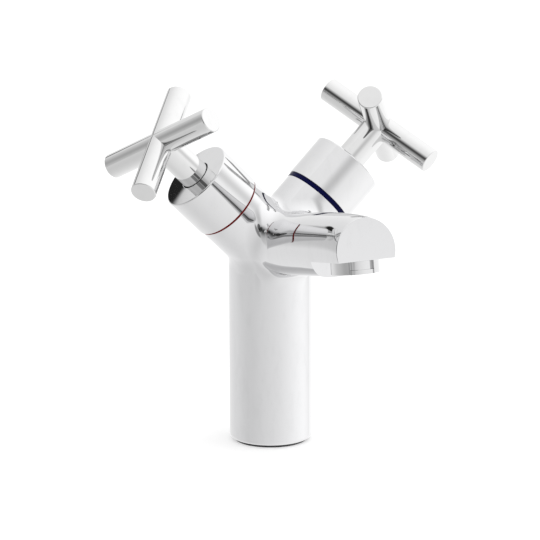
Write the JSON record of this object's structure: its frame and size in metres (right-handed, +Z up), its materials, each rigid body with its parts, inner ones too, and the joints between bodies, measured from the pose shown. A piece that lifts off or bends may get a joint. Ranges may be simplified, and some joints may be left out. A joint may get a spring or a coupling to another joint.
{
  "type": "two-handle basin mixer tap with cross handles",
  "caption": "Chrome deck-mounted mixer tap with a round column, angled valve arms under cross handles, a short straight spout and a hanging aerator.",
  "frame": {"origin": "middle of the base, on the deck under the gasket", "axes": "+Z up the column, -Y along the spout towards the user, +X to the user's right as they face the tap, which is the cold side"},
  "size_m": [0.1806, 0.1381, 0.1955],
  "materials": {
    "chrome_body": "mirror-bright chrome plate on cast brass",
    "chrome_trim": "mirror-bright chrome plate on turned brass",
    "chrome_handle": "mirror-bright chrome plate on solid brass",
    "index_red": "deep red glossy plastic",
    "index_blue": "navy blue glossy plastic",
    "gasket_rubber": "matt black rubber",
    "seal_rubber": "matt black nitrile rubber",
    "brass": "turned, unplated",
    "disc_ceramic": "lapped alumina",
    "glide_plastic": "plain white slippery plastic",
    "insert_plastic": "moulded grey plastic",
    "stainless": "plain stainless steel"
  },
  "bodies": {
    "root": {"tap_body": "chrome_body", "base_gasket": "gasket_rubber", "aerator_housing": "chrome_trim", "aerator_insert": "insert_plastic", "aerator_screen": "stainless", "aerator_washer": "seal_rubber", "hot_cartridge_housing": "brass", "hot_seat_seal": "seal_rubber", "hot_fixed_disc": "disc_ceramic", "hot_housing_ring": "seal_rubber", "hot_index_ring": "index_red", "hot_shroud": "chrome_trim", "cold_cartridge_housing": "brass", "cold_seat_seal": "seal_rubber", "cold_fixed_disc": "disc_ceramic", "cold_housing_ring": "seal_rubber", "cold_index_ring": "index_blue", "cold_shroud": "chrome_trim"},
    "hot_handle": {"hot_moving_disc": "disc_ceramic", "hot_glide_washer": "glide_plastic", "hot_spindle": "brass", "hot_spindle_rings": "seal_rubber", "hot_circlip": "stainless", "hot_cross_handle": "chrome_handle", "hot_grub_screw": "stainless"},
    "cold_handle": {"cold_moving_disc": "disc_ceramic", "cold_glide_washer": "glide_plastic", "cold_spindle": "brass", "cold_spindle_rings": "seal_rubber", "cold_circlip": "stainless", "cold_cross_handle": "chrome_handle", "cold_grub_screw": "stainless"}
  },
  "joints": [
    {"name": "hot_turn", "type": "hinge", "parent": "root", "child": "hot_handle", "pos_m": [0, -0.003, 0.1062], "axis": [-0.7193, 0, 0.6947], "range_deg": [0, 90]},
    {"name": "cold_turn", "type": "hinge", "parent": "root", "child": "cold_handle", "pos_m": [0, -0.003, 0.1062], "axis": [-0.7193, 0, -0.6947], "range_deg": [0, 90]}
  ]
}
